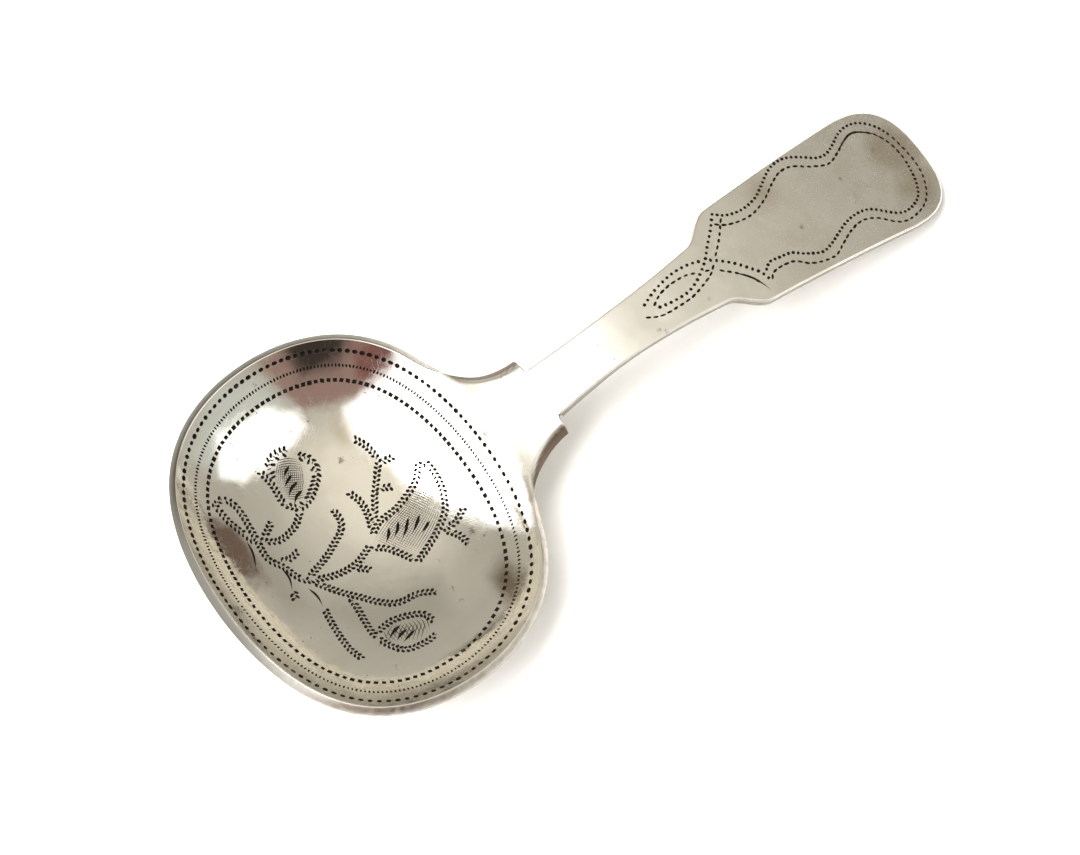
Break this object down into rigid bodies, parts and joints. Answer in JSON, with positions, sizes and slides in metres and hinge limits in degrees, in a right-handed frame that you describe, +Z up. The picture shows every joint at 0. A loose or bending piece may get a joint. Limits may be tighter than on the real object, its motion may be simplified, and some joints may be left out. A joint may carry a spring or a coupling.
{
  "type": "caddy spoon",
  "caption": "Short caddy spoon with a wide oval bowl, stepped shoulders and an arched fiddle-shaped handle, for measuring tea leaves.",
  "frame": {"origin": "on the table, under the middle of the spoon's overall length and width", "axes": "+X from the bowl towards the handle's end, +Y across the bowl, +Z up, as it rests on a table"},
  "size_m": [0.0934, 0.0432, 0.0104],
  "materials": {
    "bowl_silver": "old polished silver with fine scratches, pits and tarnish in the engraving",
    "handle_silver": "old silver, worn to a soft satin on its face",
    "solder": "hard silver solder, slightly yellow and duller than the sheet"
  },
  "bodies": {
    "root": {"bowl": "bowl_silver", "handle": "handle_silver", "solder_seam": "solder"}
  },
  "joints": []
}
